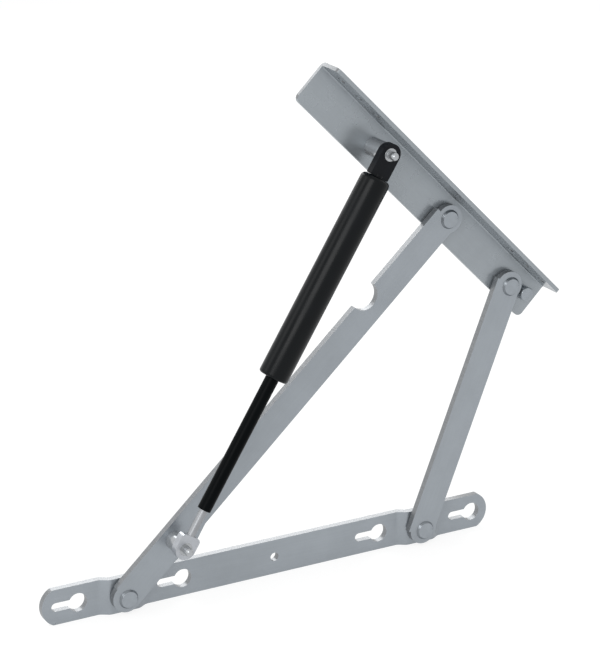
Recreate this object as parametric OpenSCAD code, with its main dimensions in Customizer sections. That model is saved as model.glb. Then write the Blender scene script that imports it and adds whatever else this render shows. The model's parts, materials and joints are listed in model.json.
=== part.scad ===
// Lift-up bed mechanism, one side, shown open.
// Millimetres. The origin is the base bar's centre hole on its back face:
// X runs along the bar, Y points back to the bed rail, Z points up.

/* [Linkage] */
// Distance between the two pivots on the base bar
base_pivot_spacing = 245.5; // [225:1:265]
// Length of the long arm between its pivots
long_arm_length = 356; // [310:1:395]
// Length of the short arm between its pivots
short_arm_length = 195.4; // [175:0.1:225]
// Lean of the long arm when the mechanism stands open, in degrees
open_lean = 42.9; // [36:0.1:45]
// Distance of the left pivot from the centre hole
left_pivot_offset = 122.5; // [118:0.5:127]
// How far the base pivots lie below the bar's middle line
pivot_drop = 1; // [0:0.25:2]

/* [Base bar] */
// How far the bar runs on past the left pivot
left_overhang = 62; // [61:0.5:80]
// How far the bar runs on past the right pivot
right_overhang = 61.5; // [60:0.5:80]
// Height of the base bar
bar_height = 27; // [25:0.5:32]
// Thickness of the base bar
bar_thickness = 5; // [4:0.25:6]
// Radius of the arc at each end of the bar
bar_end_radius = 15; // [14:0.5:25]
// How far the pivot pads stand proud of the bar
pad_raise = 4; // [3.5:0.25:5]
// Flat length of each pivot pad
pad_length = 23; // [20:0.5:26]
// Length of the slope beside each pad
ramp_length = 6.5; // [5:0.5:8]
// Diameter of the screw hole in the bar's middle
centre_hole = 6.5; // [5:0.25:8]
// Diameter of a keyhole's round end
keyhole_bore = 14; // [11:0.5:16]
// Width of a keyhole's slot
keyhole_slot = 6.5; // [5:0.25:8]
// Distance from a keyhole's round end to its slot's end
keyhole_travel = 17; // [14:0.5:18]
// Distance of the keyhole to the left of each pivot
keyhole_before = 34.5; // [33:0.25:36]
// Distance of the keyhole to the right of each pivot
keyhole_after = 47.5; // [46:0.25:48]

/* [Arms] */
// Width of both arms
arm_width = 22; // [20:0.5:24]
// Thickness of both arms
arm_thickness = 5; // [4:0.25:6]
// Distance from the pivot line to an arm's upper edge
arm_upper_edge = 13.6; // [12:0.1:14]
// Radius of the arms' round feet
foot_radius = 11; // [10.5:0.25:12]
// How far the centre of a round foot lies above the pivot line
foot_rise = 1.5; // [0:0.25:2]
// Radius of the long arm's round head
head_radius = 10.5; // [9:0.25:11.5]
// How far the long arm's upper edge stops short of its top pivot
head_setback = 1; // [0:0.5:4]
// Radius of the notch that clears the upper stud when closed
notch_radius = 10.8; // [9:0.1:12]
// Distance of the notch from the arm's foot pivot
notch_distance = 272.25; // [268:0.25:276]
// How far the long arm's boss stands out below its lower edge
boss_depth = 3.3; // [2:0.1:4]

/* [Top bracket] */
// Length of the bracket
bracket_length = 270; // [264:1:290]
// Height of the bracket's web
web_height = 33; // [31:0.5:40]
// Width of the bracket's flange
flange_width = 23; // [21:0.5:27]
// Sheet thickness of the bracket
sheet = 3; // [2:0.25:3.5]
// Inner radius of the bend
bend_radius = 1; // [0.5:0.25:2]
// Corner radius of the web
web_corner = 4.5; // [2:0.5:8]
// Corner radius of the flange
flange_corner = 3; // [1:0.5:6]
// Distance of the long arm's pivot from the bracket's upper end
long_pivot_along = 160; // [157:0.5:163]
// Height of the long arm's pivot above the web's lower edge
long_pivot_height = 15; // [14:0.25:16]
// Distance of the short arm's pivot from the bracket's upper end
short_pivot_along = 241.5; // [240:0.5:244]
// Height of the short arm's pivot above the web's lower edge
short_pivot_height = 11.5; // [11:0.25:12.5]
// Diameter of the flange's screw holes
screw_hole = 6.5; // [5:0.25:8]
// Distance of the outer screw hole from the bracket's end
screw_margin = 13; // [10:0.5:16]
// Distance between the screw holes of one group
screw_pitch = 20; // [16:0.5:22]
// Distance of the screw holes from the flange's free edge
screw_edge = 10; // [8:0.5:12]

/* [Rivets and washers] */
// Diameter of the pivot rivets' shanks
rivet_shank = 10; // [8:0.25:11]
// Diameter of the pivot rivets' sloped heads against the arm
rivet_head = 14.5; // [13:0.25:15]
// Diameter of the flat top of a rivet head
rivet_head_flat = 12; // [10:0.25:12.5]
// Diameter of the peened tails behind the plates
rivet_tail = 13; // [12:0.25:14]
// Height of the pivot rivets' heads and tails
rivet_head_height = 1.8; // [1.2:0.1:2.5]
// Radius of the round edge of a tail or a pin's head
rivet_edge = 0.7; // [0.3:0.1:1]
// Diameter of the pivot washers
washer_diameter = 17; // [15:0.5:20]
// Thickness of the pivot washers
washer_thickness = 1.45; // [1:0.05:2]
// Distance of the stop pin from the bracket's lower end
stop_pin_margin = 11.25; // [9:0.25:12]
// Height of the stop pin above the web's lower edge
stop_pin_height = 16; // [15:0.5:18]
// Diameter of the stop pin's head
stop_pin_head = 10.5; // [9:0.5:12]
// How far the stop pin's head stands out of the web
stop_pin_reach = 6; // [4:0.25:7]
// Diameter of the stop pin's shank in the web
stop_pin_shank = 8; // [6:0.5:9]

/* [Spring studs] */
// Distance of the lower stud from the long arm's foot pivot
lower_stud_along = 52.5; // [50:0.5:56]
// Height of the lower stud above the arm's pivot line
lower_stud_height = 3; // [1:0.25:5]
// Distance of the upper stud from the bracket's upper end
upper_stud_along = 73.5; // [72:0.5:76]
// Height of the upper stud above the web's lower edge
upper_stud_height = 14.5; // [14:0.25:16]
// Diameter of the studs' bodies
stud_diameter = 14; // [12:0.25:15]
// Diameter of the studs' riveted tails
stud_tail = 8; // [6:0.25:9]
// Diameter of the peened end of a stud's tail
stud_peen = 11; // [9:0.5:12]
// Height of the peened end of a stud's tail
stud_peen_height = 1; // [0.6:0.1:1.2]
// Diameter of the stud's neck in the eye
stud_neck = 9.6; // [8:0.1:10.5]
// Diameter of the stud's tip
stud_tip = 6; // [4:0.25:7]
// How far the stud's tip stands out of the eye
stud_tip_reach = 7.9; // [5:0.1:10]

/* [Gas spring] */
// Distance of the gas spring's axis from the bar's back face
spring_offset = 31; // [30:0.25:33]
// Outer diameter of the tube
tube_diameter = 22; // [20:0.5:23]
// Wall of the tube
tube_wall = 1.5; // [1:0.1:2]
// Length of rod that shows when the spring is fully out
rod_out = 104.8; // [95:0.2:115]
// Distance from the upper eye's centre to the tube
tube_gap = 18; // [18:0.25:22]
// Radius of the tube's upper shoulder
tube_shoulder = 3.5; // [2:0.25:5]
// Radius of the rolled edge at the tube's mouth
tube_mouth_edge = 2; // [1:0.25:2.5]
// Diameter of the piston rod
rod_diameter = 10; // [8:0.25:10]
// Width of both eyes
eye_width = 16; // [15:0.5:18]
// Thickness of both eyes
eye_thickness = 6; // [5:0.25:7]
// Length of the upper eye from its centre to its flat end
upper_eye_reach = 17.8; // [14:0.2:17.8]
// Length of the lower eye from its centre to its flat end
lower_eye_reach = 10; // [9.5:0.25:14]
// Radius of the corners at the upper eye's flat end
upper_eye_corner = 1; // [0.5:0.25:2]
// Radius of the corners at the lower eye's flat end
lower_eye_corner = 3; // [1:0.25:4]
// Diameter of the lower eye's shank
eye_shank = 6; // [5:0.25:7]
// Distance from the lower eye's centre to the end of its shank
eye_shank_reach = 30.4; // [24:0.2:34]
// Length of the rod guide
guide_length = 14; // [10:0.5:18]
// Length of the rod seal
seal_length = 5; // [3:0.5:7]
// Length of the piston
piston_length = 10; // [8:0.5:14]
// Length of the plug in the tube's upper end
plug_length = 9; // [7:0.5:12]

/* [Fits] */
// Radial clearance of a pivot's running fit
pivot_clearance = 0.05; // [0.02:0.01:0.1]
// Free play on each face of an arm or an eye
side_play = 0.05; // [0.02:0.01:0.1]
// Radial clearance of the sliding pieces in the tube
bore_clearance = 0.05; // [0.02:0.01:0.1]

/* [Hidden] */
$fn = 96;
// A cut runs this far past the face that it opens
past = 1;

// Layers along Y, all measured from the bar's back face towards the viewer
bar_front = -bar_thickness;
pad_back = -pad_raise;
pad_front = bar_front - pad_raise;
washer_front = pad_front - washer_thickness;
arm_back = washer_front - side_play;
arm_front = arm_back - arm_thickness;
head_back = arm_front - side_play;
web_front = pad_front;
web_back = web_front + sheet;
flange_edge = web_back - flange_width;
eye_back = -spring_offset + eye_thickness / 2;
eye_front = -spring_offset - eye_thickness / 2;
stud_front = eye_back + side_play;
tip_front = eye_front - stud_tip_reach;

// Where the pivots stand and how far the arms lean, in the XZ plane
left_pivot = [-left_pivot_offset, -pivot_drop];
right_pivot = left_pivot + [base_pivot_spacing, 0];
function turned(point, angle) = [point.x * cos(angle) - point.y * sin(angle),
                                 point.x * sin(angle) + point.y * cos(angle)];
function heading(vector) = atan2(vector.y, vector.x);
long_top = left_pivot + turned([long_arm_length, 0], open_lean);
diagonal = right_pivot - long_top;
bracket_span = [short_pivot_along - long_pivot_along, short_pivot_height - long_pivot_height];
span_heading = heading(diagonal)
    + acos((norm(diagonal) ^ 2 + norm(bracket_span) ^ 2 - short_arm_length ^ 2)
           / (2 * norm(diagonal) * norm(bracket_span)));
open_slope = heading(bracket_span) - span_heading;
short_top = long_top + turned(bracket_span, -open_slope);
short_arm_lean = heading(short_top - right_pivot);

// Where the gas spring's eyes stand
lower_eye = left_pivot + turned([lower_stud_along, lower_stud_height], open_lean);
upper_eye = long_top + turned([upper_stud_along - long_pivot_along,
                               upper_stud_height - long_pivot_height], -open_slope);
spring_lean = heading(upper_eye - lower_eye);
spring_reach = norm(upper_eye - lower_eye);

// Stations along the gas spring, measured up from the lower eye's centre
tube_top = spring_reach - tube_gap;
tube_mouth = eye_shank_reach + rod_out;
tube_length = tube_top - tube_mouth;
bore_radius = tube_diameter / 2 - tube_wall;
guide_bottom = tube_mouth + tube_mouth_edge;
seal_bottom = guide_bottom + guide_length;
// Room left between piston and seal when the spring is fully out
piston_gap = 2;
piston_bottom = seal_bottom + seal_length + piston_gap;
piston_top = piston_bottom + piston_length;
plug_bottom = tube_top - tube_wall - plug_length;
// The rod's thin end passes through the piston and is peened over it
piston_spigot = 6;
rod_peen = 9;
rod_peen_height = 1.5;
// The ring lies in a groove round the middle of the piston
ring_width = 3;
ring_depth = 1.5;
ring_bottom = piston_bottom + (piston_length - ring_width) / 2;
ring_top = ring_bottom + ring_width;
// The upper eye's tail is screwed through the plug
eye_thread = 8;
// How deep the lower eye's shank is screwed into the rod
thread_depth = 10;

module steel() color([0.72, 0.74, 0.77]) children();
module bright_steel() color([0.80, 0.81, 0.83]) children();
module black_paint() color([0.15, 0.15, 0.16]) children();

// A flat outline in XZ made into a plate between two layers
module plate(front, back) {
    translate([0, back, 0])
        rotate([90, 0, 0])
            linear_extrude(back - front)
                children();
}

// A cylinder along Y between two layers
module dowel(radius, front, back) {
    translate([0, back, 0])
        rotate([90, 0, 0])
            cylinder(r = radius, h = back - front);
}

// A disc head with a round outer edge; it stands out from the layer seat by height
module head(radius, seat, height, edge) {
    side = sign(height);
    translate([0, seat, 0])
        rotate([side > 0 ? -90 : 90, 0, 0])
            rotate_extrude() {
                square([radius - edge, abs(height)]);
                square([radius, abs(height) - edge]);
                intersection() {
                    translate([radius - edge, abs(height) - edge])
                        circle(edge);
                    square([radius, abs(height)]);
                }
            }
}

module at_point(point) translate([point.x, 0, point.y]) children();
module at_long_arm() at_point(left_pivot) rotate([0, -open_lean, 0]) children();
module at_short_arm() at_point(right_pivot) rotate([0, -short_arm_lean, 0]) children();
module at_bracket() {
    at_point(long_top)
        rotate([0, open_slope, 0])
            at_point([-long_pivot_along, -long_pivot_height])
                children();
}
// The gas spring's own frame: its axis runs up Z from the lower eye's centre
module at_spring() {
    translate([0, -spring_offset, 0])
        at_point(lower_eye)
            rotate([0, 90 - spring_lean, 0])
                children();
}

// Base bar

bar_left = left_pivot.x - left_overhang;
bar_right = right_pivot.x + right_overhang;

module bar_outline() {
    intersection() {
        translate([bar_left, -bar_height / 2])
            square([bar_right - bar_left, bar_height]);
        union() {
            translate([bar_left + bar_end_radius, -bar_height / 2])
                square([bar_right - bar_left - 2 * bar_end_radius, bar_height]);
            for (x = [bar_left + bar_end_radius, bar_right - bar_end_radius])
                translate([x, 0])
                    circle(bar_end_radius);
        }
    }
}

// The bar seen from above: two raised pads, with the sheet's thickness kept along the slopes
module bar_profile() {
    slope = atan(pad_raise / ramp_length);
    shift = bar_thickness * tan(slope / 2);
    pads = [left_pivot.x, right_pivot.x];
    inner = pad_length / 2;
    outer = inner + ramp_length;
    front = [for (x = pads, p = [[-outer, 0], [-inner, 1], [inner, 1], [outer, 0]])
        [x + p.x, bar_front - p.y * pad_raise]];
    back = [for (x = [pads[1], pads[0]], p = [[outer, 0], [inner, 1], [-inner, 1], [-outer, 0]])
        [x + p.x - sign(p.x) * shift, -p.y * pad_raise]];
    polygon(concat([[bar_left, 0], [bar_left, bar_front]], front,
                   [[bar_right, bar_front], [bar_right, 0]], back));
}

module keyhole() {
    circle(d = keyhole_bore);
    translate([-keyhole_travel, 0])
        circle(d = keyhole_slot);
    translate([-keyhole_travel, -keyhole_slot / 2])
        square([keyhole_travel, keyhole_slot]);
}

keyhole_places = [for (x = [left_pivot.x, right_pivot.x], step = [-keyhole_before, keyhole_after]) x + step];

module base_bar() {
    steel() difference() {
        intersection() {
            plate(pad_front - past, past) bar_outline();
            translate([0, 0, -bar_height / 2])
                linear_extrude(bar_height)
                    bar_profile();
        }
        plate(bar_front - past, past) {
            circle(d = centre_hole);
            for (x = keyhole_places)
                translate([x, 0])
                    keyhole();
        }
        for (pivot = [left_pivot, right_pivot])
            at_point(pivot)
                dowel(rivet_shank / 2, pad_front - past, past);
    }
}

// Pivot hardware

// A low cone with a flat top, which holds an arm on its rivet
module sloped_head() {
    translate([0, head_back, 0])
        rotate([90, 0, 0])
            cylinder(d1 = rivet_head, d2 = rivet_head_flat, h = rivet_head_height);
}

module rivet(tail_back) {
    sloped_head();
    dowel(rivet_shank / 2, head_back, tail_back);
    head(rivet_tail / 2, tail_back, rivet_head_height, rivet_edge);
}

module washer() {
    difference() {
        dowel(washer_diameter / 2, washer_front, pad_front);
        dowel(rivet_shank / 2 + pivot_clearance, washer_front - past, pad_front + past);
    }
}

module left_base_rivet() {
    bright_steel() at_point(left_pivot) rivet(pad_back);
}

module right_base_rivet_tail() {
    bright_steel() at_point(right_pivot) {
        dowel(rivet_shank / 2, washer_front, pad_back);
        head(rivet_tail / 2, pad_back, rivet_head_height, rivet_edge);
    }
}

module right_base_rivet_head() {
    bright_steel() at_point(right_pivot) {
        sloped_head();
        dowel(rivet_shank / 2, head_back, arm_back);
    }
}

module base_pivot_washers() {
    bright_steel()
        for (pivot = [left_pivot, right_pivot])
            at_point(pivot)
                washer();
}

// Arms

arm_lower_edge = arm_width - arm_upper_edge;
arm_bore = rivet_shank / 2 + pivot_clearance;

module long_arm_outline() {
    boss_start = lower_stud_along - 14.5;
    boss_peak = lower_stud_along + 11.5;
    boss_end = lower_stud_along + 23;
    difference() {
        union() {
            polygon([[0, foot_rise - foot_radius],
                     [boss_start, foot_rise - foot_radius],
                     [boss_peak, -arm_lower_edge - boss_depth],
                     [boss_end, -arm_lower_edge],
                     [long_arm_length - head_setback, -arm_lower_edge],
                     [long_arm_length - head_setback, arm_upper_edge],
                     [0, arm_upper_edge]]);
            translate([0, foot_rise])
                circle(foot_radius);
            translate([long_arm_length, 0])
                circle(head_radius);
        }
        translate([notch_distance, arm_upper_edge])
            circle(notch_radius);
    }
}

module long_arm() {
    steel() at_long_arm() difference() {
        plate(arm_front, arm_back) long_arm_outline();
        for (x = [0, long_arm_length])
            at_point([x, 0])
                dowel(arm_bore, arm_front - past, arm_back + past);
        at_point([lower_stud_along, lower_stud_height])
            dowel(stud_tail / 2, arm_front - past, arm_back + past);
    }
}

module short_arm_outline() {
    corner = 3.8;
    for (x = [0, short_arm_length])
        translate([x, foot_rise])
            circle(foot_radius);
    polygon([[0, -arm_lower_edge],
             [short_arm_length, -arm_lower_edge],
             [short_arm_length + corner, arm_upper_edge],
             [-corner, arm_upper_edge]]);
}

module short_arm() {
    steel() at_short_arm() difference() {
        plate(arm_front, arm_back) short_arm_outline();
        at_point([0, 0])
            dowel(rivet_shank / 2, arm_front - past, arm_back + past);
        at_point([short_arm_length, 0])
            dowel(arm_bore, arm_front - past, arm_back + past);
    }
}

// Top bracket

module bracket_profile() {
    outer = bend_radius + sheet;
    bend = [web_back - outer, web_height - outer];
    translate([web_front, 0])
        square([sheet, bend.y]);
    translate([flange_edge, web_height - sheet])
        square([bend.x - flange_edge, sheet]);
    intersection() {
        translate(bend)
            difference() {
                circle(outer);
                circle(bend_radius);
            }
        translate(bend)
            square(outer);
    }
}

// A rectangle from the origin with both of its lower corners rounded
module two_corner_rectangle(length, height, corner) {
    translate([corner, 0])
        square([length - 2 * corner, height]);
    translate([0, corner])
        square([length, height - corner]);
    for (x = [corner, length - corner])
        translate([x, corner])
            circle(corner);
}

stop_pin_along = bracket_length - stop_pin_margin;
screw_places = [for (i = [0:2]) for (side = [0, 1])
    let (x = screw_margin + i * screw_pitch) side == 0 ? x : bracket_length - x];

module top_bracket() {
    steel() at_bracket() difference() {
        intersection() {
            rotate([90, 0, 90])
                linear_extrude(bracket_length)
                    bracket_profile();
            plate(flange_edge - past, past)
                two_corner_rectangle(bracket_length, web_height, web_corner);
            translate([0, flange_edge, 0])
                linear_extrude(web_height)
                    two_corner_rectangle(bracket_length, flange_width, flange_corner);
        }
        for (pivot = [[long_pivot_along, long_pivot_height], [short_pivot_along, short_pivot_height]])
            at_point(pivot)
                dowel(rivet_shank / 2, web_front - past, web_back + past);
        at_point([upper_stud_along, upper_stud_height])
            dowel(stud_tail / 2, web_front - past, web_back + past);
        at_point([stop_pin_along, stop_pin_height])
            dowel(stop_pin_shank / 2, web_front - past, web_back + past);
        for (x = screw_places)
            translate([x, flange_edge + screw_edge, web_height - sheet - past])
                cylinder(d = screw_hole, h = sheet + 2 * past);
    }
}

module bracket_rivets() {
    bright_steel()
        for (pivot = [long_top, short_top])
            at_point(pivot)
                rivet(web_back);
}

module bracket_pivot_washers() {
    bright_steel()
        for (pivot = [long_top, short_top])
            at_point(pivot)
                washer();
}

module bracket_stop_pin() {
    bright_steel() at_bracket() at_point([stop_pin_along, stop_pin_height]) {
        head(stop_pin_head / 2, web_front, -stop_pin_reach, rivet_edge);
        dowel(stop_pin_shank / 2, web_front, web_back);
        head(stud_peen / 2, web_back, stud_peen_height, rivet_edge / 2);
    }
}

// Studs of the gas spring

module stud_body(seat, back) {
    dowel(stud_diameter / 2, stud_front, seat);
    dowel(stud_tail / 2, seat, back);
    head(stud_peen / 2, back, stud_peen_height, rivet_edge / 2);
}

// The neck that the eye turns on, and the domed tip in front of it
module stud_pin(back) {
    dome = tip_front + stud_tip / 2;
    dowel(stud_neck / 2, eye_front, back);
    dowel(stud_tip / 2, dome, eye_front);
    translate([0, dome, 0])
        sphere(d = stud_tip);
}

module lower_stud_body() {
    bright_steel() at_point(lower_eye) rotate([0, -open_lean, 0]) stud_body(arm_front, arm_back);
}

module lower_stud_pin() {
    bright_steel() at_point(lower_eye) stud_pin(eye_back);
}

module upper_stud() {
    bright_steel() at_point(upper_eye) {
        stud_body(web_front, web_back);
        stud_pin(stud_front);
    }
}

// Gas spring

// A ring of revolution about the spring's axis between two stations
module sleeve(inner, outer, bottom, top) {
    translate([0, 0, bottom])
        difference() {
            cylinder(r = outer, h = top - bottom);
            translate([0, 0, -past])
                cylinder(r = inner, h = top - bottom + 2 * past);
        }
}

// A flat eye: round end, straight sides, flat end at reach with round corners; the bore runs along Y
module eye(reach, bore, corner) {
    difference() {
        translate([0, eye_thickness / 2, 0])
            rotate([90, 0, 0])
                linear_extrude(eye_thickness) {
                    circle(d = eye_width);
                    translate([-eye_width / 2, 0])
                        square([eye_width, reach - corner]);
                    translate([corner - eye_width / 2, 0])
                        square([eye_width - 2 * corner, reach]);
                    for (side = [-1, 1])
                        translate([side * (eye_width / 2 - corner), reach - corner])
                            circle(corner);
                }
        rotate([90, 0, 0])
            cylinder(r = bore, h = eye_thickness + 2 * past, center = true);
    }
}

// The tube is closed by its rolled mouth below and its shoulder above
module spring_tube() {
    radius = tube_diameter / 2;
    mouth_gap = 1;
    black_paint() at_spring() translate([0, 0, tube_mouth]) rotate_extrude() difference() {
        union() {
            square([radius - tube_shoulder, tube_length]);
            translate([0, tube_mouth_edge])
                square([radius, tube_length - tube_mouth_edge - tube_shoulder]);
            square([radius - tube_mouth_edge, tube_mouth_edge]);
            intersection() {
                translate([radius - tube_shoulder, tube_length - tube_shoulder])
                    circle(tube_shoulder);
                square([radius, tube_length]);
            }
            intersection() {
                translate([radius - tube_mouth_edge, tube_mouth_edge])
                    circle(tube_mouth_edge);
                square([radius, tube_length]);
            }
        }
        translate([0, tube_mouth_edge])
            square([bore_radius, tube_length - tube_wall - tube_mouth_edge]);
        translate([0, -past])
            square([rod_diameter / 2 + mouth_gap, tube_mouth_edge + 2 * past]);
        translate([0, tube_length - tube_wall - past])
            square([eye_thread / 2, tube_wall + 2 * past]);
    }
}

module tube_end_plug() {
    bright_steel() at_spring() sleeve(eye_thread / 2, bore_radius, plug_bottom, plug_bottom + plug_length);
}

// The black eye has a threaded tail that screws into the plug
module upper_end_fitting() {
    black_paint() at_spring() {
        translate([0, 0, spring_reach])
            mirror([0, 0, 1])
                eye(upper_eye_reach, stud_neck / 2 + pivot_clearance, upper_eye_corner);
        translate([0, 0, plug_bottom])
            cylinder(d = eye_thread, h = spring_reach - upper_eye_reach - plug_bottom);
    }
}

module rod_guide() {
    color([0.85, 0.83, 0.78]) at_spring()
        sleeve(rod_diameter / 2 + bore_clearance, bore_radius, guide_bottom, seal_bottom);
}

module rod_seal() {
    color([0.1, 0.1, 0.1]) at_spring()
        sleeve(rod_diameter / 2 + bore_clearance, bore_radius, seal_bottom, seal_bottom + seal_length);
}

module piston_rod() {
    black_paint() at_spring() {
        difference() {
            translate([0, 0, eye_shank_reach])
                cylinder(d = rod_diameter, h = piston_bottom - eye_shank_reach);
            translate([0, 0, eye_shank_reach - past])
                cylinder(d = eye_shank, h = thread_depth + past);
        }
        translate([0, 0, piston_bottom])
            cylinder(d = piston_spigot, h = piston_length);
        translate([0, 0, piston_top])
            cylinder(d = rod_peen, h = rod_peen_height);
    }
}

module piston() {
    color([0.75, 0.75, 0.78]) at_spring() difference() {
        sleeve(piston_spigot / 2, bore_radius - bore_clearance, piston_bottom, piston_top);
        sleeve(bore_radius - ring_depth, tube_diameter, ring_bottom, ring_top);
    }
}

module piston_ring() {
    color([0.12, 0.12, 0.12]) at_spring()
        sleeve(bore_radius - ring_depth, bore_radius - bore_clearance, ring_bottom, ring_top);
}

module rod_end_fitting() {
    bright_steel() at_spring() {
        eye(lower_eye_reach, stud_neck / 2, lower_eye_corner);
        translate([0, 0, lower_eye_reach])
            cylinder(d = eye_shank, h = eye_shank_reach + thread_depth - lower_eye_reach);
    }
}

base_bar();
left_base_rivet();
right_base_rivet_tail();
base_pivot_washers();
long_arm();
lower_stud_body();
short_arm();
right_base_rivet_head();
top_bracket();
bracket_rivets();
bracket_pivot_washers();
bracket_stop_pin();
upper_stud();
spring_tube();
upper_end_fitting();
tube_end_plug();
rod_guide();
rod_seal();
piston_rod();
piston();
piston_ring();
rod_end_fitting();
lower_stud_pin();
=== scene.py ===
import json
import math
import bpy
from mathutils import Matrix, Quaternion, Vector


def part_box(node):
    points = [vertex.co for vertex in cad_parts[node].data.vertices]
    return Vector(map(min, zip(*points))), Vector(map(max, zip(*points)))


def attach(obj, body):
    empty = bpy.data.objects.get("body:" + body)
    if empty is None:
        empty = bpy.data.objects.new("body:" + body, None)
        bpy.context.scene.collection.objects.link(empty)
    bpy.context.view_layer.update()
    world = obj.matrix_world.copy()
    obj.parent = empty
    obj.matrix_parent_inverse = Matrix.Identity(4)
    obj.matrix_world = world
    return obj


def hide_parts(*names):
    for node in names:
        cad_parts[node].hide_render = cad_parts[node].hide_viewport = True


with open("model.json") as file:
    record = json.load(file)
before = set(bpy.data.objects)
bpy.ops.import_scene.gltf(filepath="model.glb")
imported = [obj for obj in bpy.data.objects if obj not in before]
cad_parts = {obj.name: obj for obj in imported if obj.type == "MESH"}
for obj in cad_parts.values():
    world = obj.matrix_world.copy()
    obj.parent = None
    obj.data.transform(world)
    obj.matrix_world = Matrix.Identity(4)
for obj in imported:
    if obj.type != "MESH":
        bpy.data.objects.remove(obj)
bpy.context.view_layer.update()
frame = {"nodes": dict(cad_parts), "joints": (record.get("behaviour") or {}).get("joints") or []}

# Base bar
# A strip of 5 mm steel with two pressed pads for the pivots, four punched keyholes and a centre hole.
# It is zinc plated after punching and is screwed to the inside of the bed's rail.
mm = 0.001
pivot = {joint["name"]: Vector(joint["pos_m"]) for joint in frame["joints"] if "pos_m" in joint}
left_pivot = pivot["long_arm_fold"]
tail_low, tail_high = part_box("right_base_rivet_tail")
right_pivot = (tail_low + tail_high) / 2
bar_low, bar_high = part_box("base_bar")
bar_thickness = 5 * mm
bar_end_radius = 15 * mm
pad_raise = 4 * mm
pad_inner = 11.5 * mm
pad_outer = 18 * mm
pad_bend = 1.6 * mm
keyhole_radius = 7 * mm
keyhole_travel = 17 * mm
keyhole_steps = (-34.5 * mm, 47.5 * mm)
slot_radius = 3.25 * mm
shank_radius = 5 * mm
punch_front = -20 * mm
punch_back = 10 * mm
drill_front = -50 * mm
drill_back = 20 * mm
round_steps = 96
edge_break = 0.3 * mm
near = 0.3 * mm
zinc_colour = (0.325, 0.355, 0.385)
edge_colour = (0.24, 0.25, 0.26)


def select_only(piece):
    """Leaves one object selected and active, in object mode."""
    if bpy.context.object is not None and bpy.context.object.mode != "OBJECT":
        bpy.ops.object.mode_set(mode="OBJECT")
    bpy.ops.object.select_all(action="DESELECT")
    piece.select_set(True)
    bpy.context.view_layer.objects.active = piece


def settle(piece):
    """Puts a piece's place and turn into its mesh."""
    select_only(piece)
    bpy.ops.object.transform_apply(location=True, rotation=True, scale=True)


def add_block(name, low, high):
    """A block of steel between two corners."""
    low, high = Vector(low), Vector(high)
    bpy.ops.object.select_all(action="DESELECT")
    bpy.ops.mesh.primitive_cube_add(size=1, location=(low + high) / 2)
    block = bpy.context.object
    block.name = name
    block.data.name = name
    block.scale = high - low
    settle(block)
    return block


def add_round(name, x, z, radius, front, back):
    """A round bar along Y between two layers, with no corner at its top, bottom or sides."""
    bpy.ops.object.select_all(action="DESELECT")
    bpy.ops.mesh.primitive_cylinder_add(vertices=round_steps, radius=radius, depth=back - front)
    stock = bpy.context.object
    stock.name = name
    stock.rotation_euler = (math.pi / 2, math.pi / round_steps, 0)
    stock.location = (x, (front + back) / 2, z)
    settle(stock)
    return stock


def pick_points(piece, chosen):
    """Selects the points that chosen picks by their place, and opens the mesh for editing."""
    select_only(piece)
    bpy.ops.object.mode_set(mode="EDIT")
    bpy.ops.mesh.select_mode(type="VERT")
    bpy.ops.mesh.select_all(action="DESELECT")
    bpy.ops.object.mode_set(mode="OBJECT")
    for point in piece.data.vertices:
        point.select = bool(chosen(point.co))
    bpy.ops.object.mode_set(mode="EDIT")


def move_points(piece, chosen, offset):
    """Slides the points that chosen picks."""
    pick_points(piece, chosen)
    bpy.ops.transform.translate(value=offset)
    bpy.ops.object.mode_set(mode="OBJECT")


def slice_at(piece, places):
    """Cuts a ring of edges round the piece at each of these places along X."""
    select_only(piece)
    bpy.ops.object.mode_set(mode="EDIT")
    for x in places:
        bpy.ops.mesh.select_all(action="SELECT")
        bpy.ops.mesh.bisect(plane_co=(x, 0, 0), plane_no=(1, 0, 0))
    bpy.ops.object.mode_set(mode="OBJECT")


def add_long_round(name, first, second, radius):
    """A punch with two round ends: a round bar whose right half is drawn out along X."""
    punch = add_round(name, first.x, first.z, radius, punch_front, punch_back)
    move_points(punch, lambda point: point.x > first.x, second - first)
    return punch


def combine(piece, tool, operation):
    """Joins, cuts or trims the piece with a tool, and clears the tool away."""
    select_only(piece)
    bpy.ops.object.modifier_add(type="BOOLEAN")
    boolean = piece.modifiers[-1]
    boolean.operation = operation
    boolean.solver = "EXACT"
    boolean.object = tool
    bpy.ops.object.modifier_apply(modifier=boolean.name)
    bpy.data.objects.remove(tool)


def drill(piece, x, z, radius):
    """Drills a hole along Y."""
    combine(piece, add_round("drill", x, z, radius, drill_front, drill_back), "DIFFERENCE")


def clean(piece):
    """Merges doubled points, melts flat leftovers and turns every face outwards."""
    select_only(piece)
    bpy.ops.object.mode_set(mode="EDIT")
    bpy.ops.mesh.select_all(action="SELECT")
    bpy.ops.mesh.remove_doubles(threshold=1e-6)
    bpy.ops.mesh.dissolve_limited(angle_limit=math.radians(0.5))
    bpy.ops.mesh.select_all(action="SELECT")
    bpy.ops.mesh.normals_make_consistent(inside=False)
    bpy.ops.object.mode_set(mode="OBJECT")


def soften(piece, width=edge_break, segments=2, angle=30):
    """Breaks the sharp edges, as tumbling and plating do, and shades the rounds smooth."""
    select_only(piece)
    bpy.ops.object.shade_smooth()
    bpy.ops.object.modifier_add(type="BEVEL")
    bevel = piece.modifiers[-1]
    bevel.width = width
    bevel.segments = segments
    bevel.limit_method = "ANGLE"
    bevel.angle_limit = math.radians(angle)
    bevel.harden_normals = True
    bpy.ops.object.modifier_apply(modifier=bevel.name)


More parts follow.
